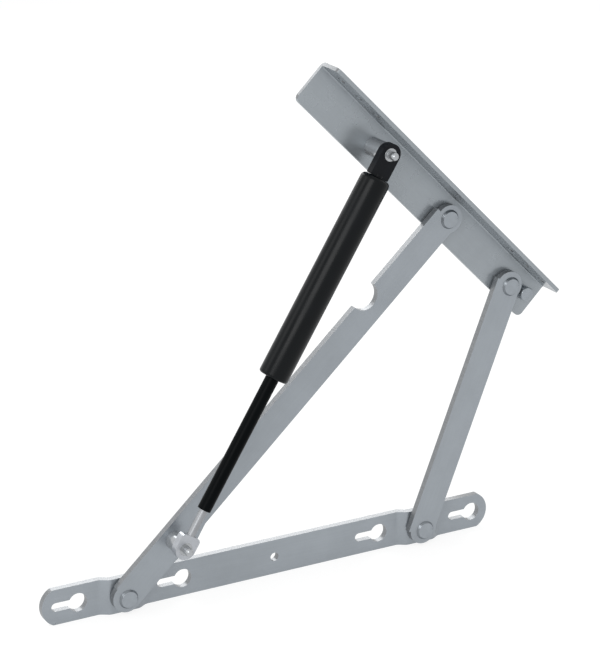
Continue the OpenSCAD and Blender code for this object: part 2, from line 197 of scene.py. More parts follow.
def new_finish(name, metallic):
    """An empty finish, its shader, and the coordinates that its patterns lie on."""
    material = bpy.data.materials.new(name)
    material.use_nodes = True
    shader = material.node_tree.nodes["Principled BSDF"]
    shader.inputs["Metallic"].default_value = metallic
    coordinates = material.node_tree.nodes.new("ShaderNodeTexCoord")
    return material, shader, coordinates.outputs["Object"]


def add_node(material, kind, **inputs):
    """Adds a shader node and fills in its inputs by name."""
    node = material.node_tree.nodes.new(kind)
    for label, value in inputs.items():
        node.inputs[label.replace("_", " ")].default_value = value
    return node


def add_mapping(material, coordinates, **inputs):
    """Moves, turns or draws out a set of coordinates."""
    mapping = add_node(material, "ShaderNodeMapping", **inputs)
    material.node_tree.links.new(coordinates, mapping.inputs["Vector"])
    return mapping.outputs["Vector"]


def add_noise(material, coordinates, **inputs):
    """A cloudy or grainy pattern on a set of coordinates."""
    noise = add_node(material, "ShaderNodeTexNoise", **inputs)
    material.node_tree.links.new(coordinates, noise.inputs["Vector"])
    return noise.outputs["Fac"]


def shades(colour, spread):
    """A colour made darker and lighter by a share of itself."""
    return [tuple(channel * (1 + side * spread) for channel in colour) for side in (-1, 1)]


def ramp(material, pattern, low, high):
    """Spreads a pattern's middle values between two colours."""
    node = material.node_tree.nodes.new("ShaderNodeValToRGB")
    node.color_ramp.elements[0].position = 0.3
    node.color_ramp.elements[1].position = 0.7
    node.color_ramp.elements[0].color = (*low, 1)
    node.color_ramp.elements[1].color = (*high, 1)
    material.node_tree.links.new(pattern, node.inputs["Fac"])
    return node.outputs["Color"]


def vary_sheen(material, shader, pattern, smoothest, roughest):
    """Lets a pattern change how rough the surface is."""
    rough = ramp(material, pattern, (smoothest,) * 3, (roughest,) * 3)
    material.node_tree.links.new(rough, shader.inputs["Roughness"])


def emboss(material, shader, pattern, strength, depth):
    """Presses a pattern lightly into the surface."""
    bump = add_node(material, "ShaderNodeBump", Strength=strength, Distance=depth)
    material.node_tree.links.new(pattern, bump.inputs["Height"])
    material.node_tree.links.new(bump.outputs["Normal"], shader.inputs["Normal"])


def zinc_plate(name, colour, lean=0.0, roughness=0.3, relief=0.03):
    """Bright zinc on rolled strip: clouds in the plating, grain along the strip and a fine grit."""
    material, shader, place = new_finish(name, 0.55)
    links = material.node_tree.links
    along_strip = add_mapping(material, place, Rotation=(0, lean, 0))
    drawn_out = add_mapping(material, along_strip, Scale=(0.04, 1, 1))
    clouds = add_noise(material, along_strip, Scale=38.0, Detail=4.0, Roughness=0.55)
    grain = add_noise(material, drawn_out, Scale=900.0, Detail=3.0, Roughness=0.6)
    grit = add_noise(material, along_strip, Scale=2600.0, Detail=2.0)
    streaked = add_node(material, "ShaderNodeMix")
    streaked.data_type = "RGBA"
    streaked.blend_type = "MULTIPLY"
    streaked.inputs["Factor"].default_value = 1.0
    links.new(ramp(material, clouds, *shades(colour, 0.05)), streaked.inputs["A"])
    links.new(ramp(material, grain, *shades((1, 1, 1), 0.025)), streaked.inputs["B"])
    links.new(streaked.outputs["Result"], shader.inputs["Base Color"])
    vary_sheen(material, shader, clouds, roughness - 0.03, roughness + 0.04)
    uneven = add_node(material, "ShaderNodeMath")
    uneven.operation = "ADD"
    links.new(grain, uneven.inputs[0])
    links.new(grit, uneven.inputs[1])
    emboss(material, shader, uneven.outputs["Value"], relief, 0.05 * mm)
    return material


def sheared_edge(name, colour):
    """The cut edge of plated strip: duller than the faces, with lines across it from the shear."""
    material, shader, place = new_finish(name, 0.7)
    across = add_mapping(material, place, Scale=(1, 0.08, 1))
    lines = add_noise(material, across, Scale=1400.0, Detail=3.0)
    lined = ramp(material, lines, *shades(colour, 0.1))
    material.node_tree.links.new(lined, shader.inputs["Base Color"])
    vary_sheen(material, shader, lines, 0.3, 0.42)
    emboss(material, shader, lines, 0.1, 0.1 * mm)
    return material


def give_finishes(piece, main, second, chosen):
    """Gives a piece its main finish, and the second one where chosen picks a face."""
    piece.data.materials.append(main)
    piece.data.materials.append(second)
    for side in piece.data.polygons:
        side.material_index = 1 if chosen(side) else 0


def is_cut_edge(side):
    """True for the cut edges of a plate that stands in the XZ plane."""
    return abs(side.normal.y) < 0.3


bar = add_block("bar", (bar_low.x, -bar_thickness, bar_low.z), (bar_high.x, 0, bar_high.z))
pad_places = [left_pivot.x, right_pivot.x]
slice_at(bar, [x + step for x in pad_places for step in (-pad_outer, -pad_inner, pad_inner, pad_outer)])
move_points(bar, lambda point: min(abs(point.x - x) for x in pad_places) < pad_inner + near,
            (0, -pad_raise, 0))
ramp_slope = math.atan(pad_raise / (pad_outer - pad_inner))
back_shift = bar_thickness * math.tan(ramp_slope / 2)
for x in pad_places:
    for side in (-1, 1):
        move_points(bar, lambda point: point.y > -pad_raise - near
                    and 0 < side * (point.x - x) < pad_outer + near, (-side * back_shift, 0, 0))
        for reach, lift in ((pad_inner, pad_raise), (pad_outer, 0)):
            for bend in (Vector((reach, -lift - bar_thickness, 0)), Vector((reach - back_shift, -lift, 0))):
                pick_points(bar, lambda point: abs(side * (point.x - x) - bend.x) < near
                            and abs(point.y - bend.y) < near)
                bpy.ops.mesh.bevel(offset=pad_bend, segments=5, affect="EDGES")
                bpy.ops.object.mode_set(mode="OBJECT")
first_end = Vector((bar_low.x + bar_end_radius, 0, 0))
last_end = Vector((bar_high.x - bar_end_radius, 0, 0))
combine(bar, add_long_round("outline", first_end, last_end, bar_end_radius), "INTERSECT")
for x in pad_places:
    for step in keyhole_steps:
        round_end = Vector((x + step, 0, 0))
        slot_end = round_end - Vector((keyhole_travel, 0, 0))
        combine(bar, add_long_round("slot", slot_end, round_end, slot_radius), "DIFFERENCE")
        drill(bar, round_end.x, 0, keyhole_radius)
drill(bar, 0, 0, slot_radius)
for hole in (left_pivot, right_pivot):
    drill(bar, hole.x, hole.z, shank_radius)
clean(bar)
soften(bar)
bar_face = zinc_plate("zinc_bar", zinc_colour)
give_finishes(bar, bar_face, sheared_edge("bar_edge", edge_colour), is_cut_edge)
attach(bar, "base")
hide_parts("base_bar")

# Pivot rivets and washers
# Turned steel rivets with low sloped heads, 10 mm in the shank, and a thin washer behind each arm.
# The tail is peened over behind the plate, so that it holds the plates and still lets the arm swing.
pad_back = 4 * mm
pad_front = 9 * mm
washer_front = 10.45 * mm
washer_radius = 8.5 * mm
bore_radius = 5.05 * mm
arm_back = 10.5 * mm
arm_front = 15.5 * mm
head_back = 15.55 * mm
head_foot = 7.25 * mm
head_flat = 6 * mm
head_height = 1.8 * mm
tail_radius = 6.5 * mm
facing = 0.7
steel_colour = (0.32, 0.35, 0.38)
# The darker steel of the heads' slopes is painted shade, standing in for the shade that falls on them.
painted_shade_flank_colour = (0.215, 0.235, 0.255)


def turn_on_lathe(name, rings, steps=64):
    """Turns a piece about Z: a disc at the first ring is drawn out to each next (height, radius)."""
    bpy.ops.object.select_all(action="DESELECT")
    height, radius = rings[0]
    start = (0, 0, height)
    bpy.ops.mesh.primitive_circle_add(vertices=steps, radius=radius, fill_type="NGON", location=start)
    piece = bpy.context.object
    piece.name = name
    piece.data.name = name
    settle(piece)
    bpy.ops.object.mode_set(mode="EDIT")
    bpy.ops.mesh.select_mode(type="FACE")
    bpy.ops.mesh.select_all(action="SELECT")
    for next_height, next_radius in rings[1:]:
        rise = (0, 0, next_height - height)
        bpy.ops.mesh.extrude_region_move(TRANSFORM_OT_translate={"value": rise})
        grow = next_radius / radius
        bpy.ops.transform.resize(value=(grow, grow, 1), center_override=(0, 0, next_height))
        height, radius = next_height, next_radius
    bpy.ops.mesh.select_all(action="SELECT")
    bpy.ops.mesh.normals_make_consistent(inside=False)
    bpy.ops.object.mode_set(mode="OBJECT")
    return piece


def round_off(height, radius, edge, up, steps=5):
    """The rings of a rounded rim that ends at this height, from its side to its flat."""
    rings = []
    for step in range(steps + 1):
        angle = math.pi / 2 * step / steps
        rings.append((height - up * edge * (1 - math.sin(angle)), radius - edge * (1 - math.cos(angle))))
    return rings


def peened_tail(height, radius, lift):
    """Rings of a tail that is hammered over: a hollow in the middle, then a rounded rim."""
    rim = round_off(height - lift, radius, 0.5 * lift, -1)
    hollow = [(height - 0.6 * lift, 0.25 * radius), (height - 0.9 * lift, 0.5 * radius)]
    return hollow + rim[::-1] + [(height, radius)]


def face_viewer(piece, at):
    """Turns a lathe piece so that its heights point to the front, on the axis through at."""
    piece.rotation_euler = (math.pi / 2, 0, 0)
    piece.location = (at.x, 0, at.z)
    settle(piece)


def add_turned(name, rings, at, width, segments=2):
    """A turned piece on the axis through at, with its corners broken and its rounds kept."""
    piece = turn_on_lathe(name, rings)
    face_viewer(piece, at)
    soften(piece, width, segments, angle=50)
    return piece


def turned_steel(name, colour, centre, roughness=0.26, metallic=0.6):
    """Turned and plated steel: fine rings from the tool round the axis, and a cloudy sheen."""
    material, shader, place = new_finish(name, metallic)
    links = material.node_tree.links
    centred = add_mapping(material, place, Location=(-centre.x, 0, -centre.z))
    rings = add_node(material, "ShaderNodeTexWave", Scale=700.0, Distortion=1.5, Detail=2.0)
    rings.wave_type = "RINGS"
    rings.rings_direction = "Y"
    links.new(centred, rings.inputs["Vector"])
    clouds = add_noise(material, centred, Scale=220.0, Detail=3.0)
    links.new(ramp(material, clouds, *shades(colour, 0.06)), shader.inputs["Base Color"])
    vary_sheen(material, shader, clouds, roughness - 0.04, roughness + 0.06)
    emboss(material, shader, rings.outputs["Fac"], 0.08, 0.04 * mm)
    return material


def is_painted_shade_flank(side):
    """True for a rivet head's slope, where the painted shade goes: in front of the arm, and not facing the
    viewer.
    """
    return side.center.y < -arm_front and side.normal.y > -facing


def add_pivot_rivet(name, rings, at):
    """A rivet with turned flats, and painted shade on its flank: a darker steel where its head slopes down.
    """
    rivet = add_turned(name, rings, at, 0.15 * mm)
    flats = turned_steel(name + "_steel", steel_colour, at, roughness=0.3, metallic=0.55)
    # The flank's finish is the flats' steel made darker: painted shade on the head's slope.
    painted_shade_flank = turned_steel(name + "_flank", painted_shade_flank_colour, at, roughness=0.3, metallic=0.9)
    give_finishes(rivet, flats, painted_shade_flank, is_painted_shade_flank)
    return rivet


def whole_rivet_rings(tail_at):
    """The rings of a whole pivot rivet, from its peened tail to its sloped head."""
    return peened_tail(tail_at, tail_radius, head_height) + [(tail_at, shank_radius)] + head_rings


def add_washer(name, at):
    """A stamped washer between a plate and an arm."""
    washer = turn_on_lathe(name, [(pad_front, washer_radius), (washer_front, washer_radius)])
    face_viewer(washer, at)
    drill(washer, at.x, at.z, bore_radius)
    clean(washer)
    soften(washer, 0.2 * mm)
    washer.data.materials.append(turned_steel(name + "_steel", steel_colour, at, roughness=0.34))
    return washer


head_rings = [(head_back, shank_radius), (head_back, head_foot), (head_back + head_height, head_flat)]
left_rivet = add_pivot_rivet("left_pivot_rivet", whole_rivet_rings(pad_back), left_pivot)
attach(left_rivet, "base")
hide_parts("left_base_rivet")

# The right base rivet comes apart between washer and arm, where the linkage is opened.
right_tail_rings = peened_tail(pad_back, tail_radius, head_height)
right_tail_rings += [(pad_back, shank_radius), (washer_front, shank_radius)]
right_tail = add_turned("right_rivet_tail", right_tail_rings, right_pivot, 0.1 * mm, segments=1)
right_tail.data.materials.append(turned_steel("right_tail_steel", steel_colour, right_pivot))
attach(right_tail, "base")
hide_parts("right_base_rivet_tail")
right_head_rings = [(arm_back, shank_radius)] + head_rings
right_head = add_pivot_rivet("right_rivet_head", right_head_rings, right_pivot)
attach(right_head, "short_arm")
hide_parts("right_base_rivet_head")

for name, at in (("left_base_washer", left_pivot), ("right_base_washer", right_pivot)):
    washer = add_washer(name, at)
    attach(washer, "base")
    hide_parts("base_pivot_washers")

# Long arm
# A 5 mm steel strip from the bar's left pivot to the bracket, blanked with a notch that clears the
# upper stud when the mechanism is folded, and a swelling where the gas spring's lower stud is riveted in.
bracket_pivot = pivot["bracket_fold"]
long_reach = bracket_pivot - left_pivot
long_length = math.hypot(long_reach.x, long_reach.z)
long_lean = math.atan2(long_reach.z, long_reach.x)
arm_upper = 13.6 * mm
arm_lower = -8.4 * mm
foot_radius = 11 * mm
foot_rise = 1.5 * mm
head_radius = 10.5 * mm
head_inset = 1 * mm
swell_start = 38 * mm
swell_peak = 64 * mm
swell_end = 75.5 * mm
swell_drop = 3.3 * mm
notch_from_foot = 272.25 * mm
notch_radius = 10.8 * mm
stud_from_foot = 52.5 * mm
stud_rise = 3 * mm
stud_tail_radius = 4 * mm


def stand_up(piece, at, lean):
    """Swings a piece made lying along X up by lean, and carries its zero point to at."""
    piece.rotation_euler = (0, -lean, 0)
    piece.location = (at.x, 0, at.z)
    settle(piece)


def add_arm_blank(name, start, end):
    """The strip that an arm is blanked from."""
    return add_block(name, (start, -arm_front, arm_lower), (end, -arm_back, arm_upper))


def add_arm_end(arm, x, z, radius):
    """Joins a round end as thick as the arm to it."""
    combine(arm, add_round("end", x, z, radius, -arm_front, -arm_back), "UNION")


long_arm = add_arm_blank("long_arm_strip", 0, long_length - head_inset)
slice_at(long_arm, [swell_start, swell_peak, swell_end])
foot_drop = foot_rise - foot_radius - arm_lower
move_points(long_arm, lambda point: point.z < 0 and point.x < swell_start + near, (0, 0, foot_drop))
move_points(long_arm, lambda point: point.z < 0 and abs(point.x - swell_peak) < near, (0, 0, -swell_drop))
add_arm_end(long_arm, 0, foot_rise, foot_radius)
add_arm_end(long_arm, long_length, 0, head_radius)
drill(long_arm, notch_from_foot, arm_upper, notch_radius)
drill(long_arm, 0, 0, bore_radius)
drill(long_arm, long_length, 0, bore_radius)
drill(long_arm, stud_from_foot, stud_rise, stud_tail_radius)
stand_up(long_arm, left_pivot, long_lean)
clean(long_arm)
soften(long_arm)
long_arm_face = zinc_plate("zinc_long_arm", zinc_colour, long_lean)
give_finishes(long_arm, long_arm_face, sheared_edge("long_arm_edge", edge_colour), is_cut_edge)
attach(long_arm, "long_arm")
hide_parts("long_arm")

# Short arm
# The same strip, cut shorter with two round ends, from the bar's right pivot to the bracket's lower end.
# It keeps the bracket's turn in step with the long arm.
short_top = pivot["short_arm_fold"]
short_reach = short_top - right_pivot
short_length = math.hypot(short_reach.x, short_reach.z)
short_lean = math.atan2(short_reach.z, short_reach.x)
corner_overhang = 3.8 * mm
short_arm = add_arm_blank("short_arm_strip", -corner_overhang, short_length + corner_overhang)
move_points(short_arm, lambda point: point.z < 0 and point.x < 0, (corner_overhang, 0, 0))
move_points(short_arm, lambda point: point.z < 0 and point.x > short_length, (-corner_overhang, 0, 0))
for end in (0, short_length):
    add_arm_end(short_arm, end, foot_rise, foot_radius)
drill(short_arm, 0, 0, shank_radius)
drill(short_arm, short_length, 0, bore_radius)
stand_up(short_arm, right_pivot, short_lean)
clean(short_arm)
soften(short_arm)
short_arm_face = zinc_plate("zinc_short_arm", zinc_colour, short_lean)
give_finishes(short_arm, short_arm_face, sheared_edge("short_arm_edge", edge_colour), is_cut_edge)
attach(short_arm, "short_arm")
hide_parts("short_arm")

# Top bracket
# A 3 mm angle, folded from sheet: the web carries the arms and the spring, and the flange is screwed
# under the slatted base through three holes near each end.
bracket_length = 270 * mm
web_height = 33 * mm
web_back = 6 * mm
web_front = 9 * mm
flange_edge = -29 * mm
bend_outer = 4 * mm
bend_y = -web_back - bend_outer
bend_z = web_height - bend_outer
web_corner = 4.5 * mm
flange_corner = 3 * mm
long_hole = Vector((160 * mm, 0, 15 * mm))
short_hole_run = 81.5 * mm
short_hole_drop = 3.5 * mm
stud_hole_x = 73.5 * mm
stud_hole_z = 14.5 * mm
pin_hole = Vector((258.75 * mm, 0, 16 * mm))
screw_radius = 3.25 * mm
screw_reach = 5 * mm
screw_margins = (13 * mm, 33 * mm, 53 * mm)
screw_y = flange_edge + 10 * mm
flange_middle = web_height - 1.5 * mm
along_bracket = short_top - bracket_pivot
open_slope = math.atan2(-short_hole_drop, short_hole_run) - math.atan2(along_bracket.z, along_bracket.x)
bracket_run = Vector((math.cos(open_slope), 0, -math.sin(open_slope)))
bracket_colour = (0.325, 0.355, 0.38)
bracket = add_block("angle_bracket", (0, -web_front, 0), (bracket_length, -web_back, bend_z))
pick_points(bracket, lambda point: point.z > bend_z - near)
bpy.ops.mesh.spin(steps=8, angle=math.pi / 2, center=(0, bend_y, bend_z), axis=(-1, 0, 0))
bpy.ops.mesh.extrude_region_move(TRANSFORM_OT_translate={"value": (0, flange_edge - bend_y, 0)})
bpy.ops.object.mode_set(mode="OBJECT")
for end in (0, bracket_length):
    pick_points(bracket, lambda point: abs(point.x - end) < near and point.z < near)
    bpy.ops.mesh.bevel(offset=web_corner, segments=8, affect="EDGES")
    pick_points(bracket, lambda point: abs(point.x - end) < near and point.y < flange_edge + near)
    bpy.ops.mesh.bevel(offset=flange_corner, segments=8, affect="EDGES")
bpy.ops.object.mode_set(mode="OBJECT")
clean(bracket)
drill(bracket, long_hole.x, long_hole.z, shank_radius)
drill(bracket, long_hole.x + short_hole_run, long_hole.z - short_hole_drop, shank_radius)
drill(bracket, stud_hole_x, stud_hole_z, stud_tail_radius)
drill(bracket, pin_hole.x, pin_hole.z, stud_tail_radius)
for margin in screw_margins:
    for x in (margin, bracket_length - margin):
        screw_hole = add_round("screw_hole", 0, 0, screw_radius, -screw_reach, screw_reach)
        screw_hole.rotation_euler = (math.pi / 2, 0, 0)
        screw_hole.location = (x, screw_y, flange_middle)
        settle(screw_hole)
        combine(bracket, screw_hole, "DIFFERENCE")
move_points(bracket, lambda point: True, -long_hole)
stand_up(bracket, bracket_pivot, -open_slope)
clean(bracket)
soften(bracket, 0.35 * mm, angle=35)
bracket_face = zinc_plate("zinc_bracket", bracket_colour, -open_slope, roughness=0.26, relief=0.008)
bracket_edge = sheared_edge("bracket_edge", edge_colour)
give_finishes(bracket, bracket_face, bracket_edge, lambda side: abs(side.normal.dot(bracket_run)) > facing)
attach(bracket, "bracket")
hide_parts("top_bracket")

# Bracket's rivets and washers
# The same rivets and washers as on the bar hold both arms to the web.
# Here the tails are peened over behind the bracket.
for name, at in (("long_arm_top_rivet", bracket_pivot), ("short_arm_top_rivet", short_top)):
    rivet = add_pivot_rivet(name, whole_rivet_rings(web_back), at)
    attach(rivet, "bracket")
    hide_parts("bracket_rivets")
for name, at in (("long_arm_top_washer", bracket_pivot), ("short_arm_top_washer", short_top)):
    washer = add_washer(name, at)
    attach(washer, "bracket")
    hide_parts("bracket_pivot_washers")

# Stop pin
# A stout flat-headed pin beside the short arm's top pivot. It stands about 3 mm off the arm's edge when
# the mechanism is open, and stops the arm if it is pushed further. Its tail is peened over behind the web.
pin_radius = 5.25 * mm
pin_front = 15 * mm
pin_edge = 0.7 * mm
stud_peen_radius = 5.5 * mm
stud_peen_lift = 1 * mm
pin_offset = pin_hole - long_hole
pin_at = bracket_pivot + Vector((
    pin_offset.x * math.cos(open_slope) + pin_offset.z * math.sin(open_slope),
    0,
    pin_offset.z * math.cos(open_slope) - pin_offset.x * math.sin(open_slope),
))


def riveted_tail(plate_back, plate_front):
    """The rings of a stud's tail: peened over behind the plate, and through it to its front."""
    tail = peened_tail(plate_back, stud_peen_radius, stud_peen_lift)
    return tail + [(plate_back, stud_tail_radius), (plate_front, stud_tail_radius)]


pin_rings = riveted_tail(web_back, web_front) + [(web_front, pin_radius)]
pin_rings += round_off(pin_front, pin_radius, pin_edge, 1)
stop_pin = add_turned("stop_pin", pin_rings, pin_at, 0.1 * mm, segments=1)
stop_pin.data.materials.append(turned_steel("stop_pin_steel", steel_colour, pin_at))
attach(stop_pin, "bracket")
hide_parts("bracket_stop_pin")

# Spring studs
# Two turned studs that carry the gas spring's eyes: a thick body riveted into the plate, a neck that
# the eye turns on, and a small domed tip in front of it.
eye_layer = -31 * mm
upper_eye = pivot["tube_swing"].copy()
upper_eye.y = eye_layer
stud_low, stud_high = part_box("lower_stud_body")
lower_eye = (stud_low + stud_high) / 2
lower_eye.y = eye_layer
stud_radius = 7 * mm
neck_radius = 4.8 * mm
tip_radius = 3 * mm
stud_front = 27.95 * mm
eye_back = 28 * mm
eye_front = 34 * mm
tip_front = 41.9 * mm
dome_steps = 9
stud_colour = (0.40, 0.415, 0.43)
tip_rings = [(eye_front, neck_radius), (eye_front, tip_radius)]
for step in range(dome_steps):
    angle = math.pi / 2 * step / dome_steps
    tip_rings.append((tip_front - tip_radius * (1 - math.sin(angle)), tip_radius * math.cos(angle)))
upper_rings = riveted_tail(web_back, web_front)
upper_rings += [(web_front, stud_radius), (stud_front, stud_radius), (stud_front, neck_radius)] + tip_rings
upper_stud = add_turned("upper_spring_stud", upper_rings, upper_eye, 0.2 * mm)
upper_stud_steel = turned_steel("upper_stud_steel", stud_colour, upper_eye, roughness=0.16, metallic=0.65)
upper_stud.data.materials.append(upper_stud_steel)
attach(upper_stud, "bracket")
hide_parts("upper_stud")

# The lower stud comes apart between body and neck, where the spring is opened.
lower_rings = riveted_tail(arm_back, arm_front) + [(arm_front, stud_radius), (stud_front, stud_radius)]
lower_stud = add_turned("lower_spring_stud", lower_rings, lower_eye, 0.2 * mm)
lower_stud_steel = turned_steel("lower_stud_steel", stud_colour, lower_eye, roughness=0.16, metallic=0.65)
lower_stud.data.materials.append(lower_stud_steel)
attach(lower_stud, "long_arm")
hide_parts("lower_stud_body")
neck_rings = [(eye_back, neck_radius)] + tip_rings
lower_pin = add_turned("lower_stud_neck", neck_rings, lower_eye, 0.1 * mm, segments=1)
lower_neck_steel = turned_steel("lower_neck_steel", stud_colour, lower_eye, roughness=0.2, metallic=0.65)
lower_pin.data.materials.append(lower_neck_steel)
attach(lower_pin, "rod")
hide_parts("lower_stud_pin")

# Gas spring tube
# A drawn steel tube, closed by a rounded shoulder at the top and rolled in round the rod at its mouth.
# It is sprayed satin black all over.
spring_reach = upper_eye - lower_eye
spring_length = spring_reach.length
spring_turn = math.pi / 2 - math.atan2(spring_reach.z, spring_reach.x)
tube_radius = 11 * mm
tube_wall = 1.5 * mm
tube_bore = tube_radius - tube_wall
tube_top = spring_length - 18 * mm
tube_mouth = 135.2 * mm
mouth_radius = 6 * mm
mouth_edge = 2 * mm
shoulder = 3.5 * mm
tail_hole_radius = 4 * mm
tube_black = (0.0025, 0.0036, 0.0046)


def lay_along_spring(piece):
    """Carries a piece made on Z from zero onto the spring's axis, up from the lower eye."""
    piece.rotation_euler = (0, spring_turn, 0)
    piece.location = lower_eye
    settle(piece)


def black_coat(name, colour, roughness, shine, fineness, dents):
    """A black coat with a fine skin, a little uneven in sheen and in depth of colour."""
    material, shader, place = new_finish(name, 0.0)
    shader.inputs["Specular IOR Level"].default_value = shine
    skin = add_noise(material, place, Scale=fineness, Detail=3.0)
    patches = add_noise(material, place, Scale=55.0, Detail=3.0)
    patchy = ramp(material, patches, *shades(colour, 0.15))
    material.node_tree.links.new(patchy, shader.inputs["Base Color"])
    vary_sheen(material, shader, patches, roughness - 0.05, roughness + 0.05)
    emboss(material, shader, skin, 0.15, dents)
    return material


tube_rings = [(tube_top - tube_wall, tube_bore), (tube_mouth + mouth_edge, tube_bore)]
tube_rings += [(tube_mouth + mouth_edge, mouth_radius), (tube_mouth, mouth_radius)]
tube_rings += round_off(tube_mouth, tube_radius, mouth_edge, -1)[::-1]
tube_rings += round_off(tube_top, tube_radius, shoulder, 1, steps=8)
tube = turn_on_lathe("gas_spring_tube", tube_rings, steps=96)
tail_hole_rings = [(tube_top - 5 * mm, tail_hole_radius), (tube_top + 5 * mm, tail_hole_radius)]
combine(tube, turn_on_lathe("tail_hole", tail_hole_rings), "DIFFERENCE")
lay_along_spring(tube)
soften(tube, 0.2 * mm, angle=50)
tube_paint = black_coat("satin_black_paint", tube_black, 0.27, shine=0.145, fineness=1800.0, dents=0.03 * mm)
tube.data.materials.append(tube_paint)
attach(tube, "tube")
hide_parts("spring_tube")

# Upper eye
# A flat steel eye with a round end that turns on the upper stud. Its threaded tail is screwed into the
# tube's end plug, and its black paint is a little duller than the tube's.
eye_radius = 8 * mm
eye_half = 3 * mm
eye_play = 0.05 * mm
upper_reach = 17.8 * mm
tail_bottom = tube_top - tube_wall - 9 * mm
tail_top = spring_length - 16 * mm
eye_black = (0.006, 0.0072, 0.0095)


def add_eye(name, reach, bore, corner):
    """A flat eye round its centre at zero: round above, with straight sides and two corners below."""
    eye = add_round(name, 0, 0, eye_radius, -eye_half, eye_half)
    select_only(eye)
    bpy.ops.object.mode_set(mode="EDIT")
    bpy.ops.mesh.select_all(action="SELECT")
    bpy.ops.mesh.bisect(plane_co=(0, 0, 0), plane_no=(0, 0, 1), clear_inner=True, use_fill=True)
    bpy.ops.object.mode_set(mode="OBJECT")
    pick_points(eye, lambda point: abs(point.z) < 1e-6)
    bpy.ops.mesh.select_mode(type="FACE")
    bpy.ops.mesh.extrude_region_move(TRANSFORM_OT_translate={"value": (0, 0, -reach)})
    for side in (-1, 1):
        pick_points(eye, lambda point: point.z < near - reach and side * point.x > eye_radius - near)
        bpy.ops.mesh.bevel(offset=corner, segments=8, affect="EDGES")
    bpy.ops.object.mode_set(mode="OBJECT")
    drill(eye, 0, 0, bore)
    return eye


upper_fitting = add_eye("upper_spring_eye", upper_reach, neck_radius + eye_play, corner=1 * mm)
move_points(upper_fitting, lambda point: True, (0, 0, spring_length))
tail = turn_on_lathe("tail", [(tail_bottom, tail_hole_radius), (tail_top, tail_hole_radius)])
combine(upper_fitting, tail, "UNION")
clean(upper_fitting)
lay_along_spring(upper_fitting)
soften(upper_fitting, 0.5 * mm, segments=3, angle=40)
eye_paint = black_coat("black_eye_paint", eye_black, 0.36, shine=0.12, fineness=2200.0, dents=0.05 * mm)
upper_fitting.data.materials.append(eye_paint)
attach(upper_fitting, "tube")
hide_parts("upper_end_fitting")

# Inside the tube
# The plug, the guide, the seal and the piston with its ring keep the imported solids.
# They can't be seen from outside, and take the finish of what they are made of.
guide_colour = (0.60, 0.57, 0.48)
seal_colour = (0.02, 0.02, 0.02)
ring_colour = (0.03, 0.03, 0.03)
piston_colour = (0.62, 0.63, 0.65)


def plain_moulding(name, colour, roughness, speckle):
    """A moulded piece with a slight unevenness in colour and a fine skin."""
    material, shader, place = new_finish(name, 0.0)
    skin = add_noise(material, place, Scale=speckle, Detail=3.0)
    speckled = ramp(material, skin, *shades(colour, 0.1))
    material.node_tree.links.new(speckled, shader.inputs["Base Color"])
    vary_sheen(material, shader, skin, roughness - 0.05, roughness + 0.05)
    emboss(material, shader, skin, 0.1, 0.05 * mm)
    return material


def refinish(node, material):
    """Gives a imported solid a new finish."""
    piece = frame["nodes"][node]
    piece.data.materials.clear()
    piece.data.materials.append(material)


refinish("tube_end_plug", turned_steel("plug_steel", steel_colour, upper_eye, roughness=0.35))
refinish("rod_guide", plain_moulding("guide_plastic", guide_colour, roughness=0.5, speckle=900.0))
refinish("rod_seal", plain_moulding("seal_rubber", seal_colour, roughness=0.7, speckle=1200.0))
refinish("piston_ring", plain_moulding("ring_plastic", ring_colour, roughness=0.5, speckle=900.0))
refinish("piston", turned_steel("piston_alloy", piston_colour, lower_eye, roughness=0.32))

# Piston rod
# A ground steel rod with a smooth black nitrided skin. Its lower end is drilled and tapped for the
# lower eye, and its upper end is thinned to hold the piston.
rod_radius = 5 * mm
rod_bottom = 30.4 * mm
thread_radius = 3 * mm
thread_top = rod_bottom + 10 * mm
spigot_radius = 3 * mm
guide_length = 14 * mm
seal_length = 5 * mm
piston_gap = 2 * mm
piston_bottom = tube_mouth + mouth_edge + guide_length + seal_length + piston_gap
piston_top = piston_bottom + 10 * mm
rod_peen_radius = 4.5 * mm
rod_peen_lift = 1.5 * mm
rod_peen_edge = 0.8 * mm
rod_black = (0.0012, 0.002, 0.0024)
rod_rings = [(thread_top, thread_radius), (rod_bottom, thread_radius), (rod_bottom, rod_radius)]
rod_rings += [(piston_bottom, rod_radius), (piston_bottom, spigot_radius)]
rod_rings += [(piston_top, spigot_radius), (piston_top, rod_peen_radius)]
rod_rings += round_off(piston_top + rod_peen_lift, rod_peen_radius, rod_peen_edge, 1)
rod = turn_on_lathe("black_piston_rod", rod_rings)
lay_along_spring(rod)
soften(rod, angle=50)
rod_skin = black_coat("black_nitrided_skin", rod_black, 0.36, shine=0.045, fineness=3000.0, dents=0.02 * mm)
rod.data.materials.append(rod_skin)
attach(rod, "rod")
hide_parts("piston_rod")

# Lower eye
# A zinc plated steel eye, with a duller thin shank that is screwed up into the rod.
# It sits on the lower stud's neck.
lower_reach = 10 * mm
shank_bottom = 9 * mm
eye_colour = (0.44, 0.46, 0.49)
shank_colour = (0.31, 0.32, 0.335)
lower_fitting = add_eye("lower_spring_eye", lower_reach, neck_radius, corner=3 * mm)
lower_fitting.rotation_euler = (0, math.pi, 0)
settle(lower_fitting)
shank = turn_on_lathe("shank", [(shank_bottom, thread_radius), (thread_top, thread_radius)])
combine(lower_fitting, shank, "UNION")
clean(lower_fitting)
eye_steel = turned_steel("eye_steel", eye_colour, lower_eye, roughness=0.34, metallic=0.72)
shank_steel = turned_steel("shank_steel", shank_colour, lower_eye, roughness=0.38, metallic=0.72)
give_finishes(lower_fitting, eye_steel, shank_steel, lambda side: side.center.z > lower_reach + near)
lay_along_spring(lower_fitting)
soften(lower_fitting, angle=40)
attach(lower_fitting, "rod")
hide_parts("rod_end_fitting")

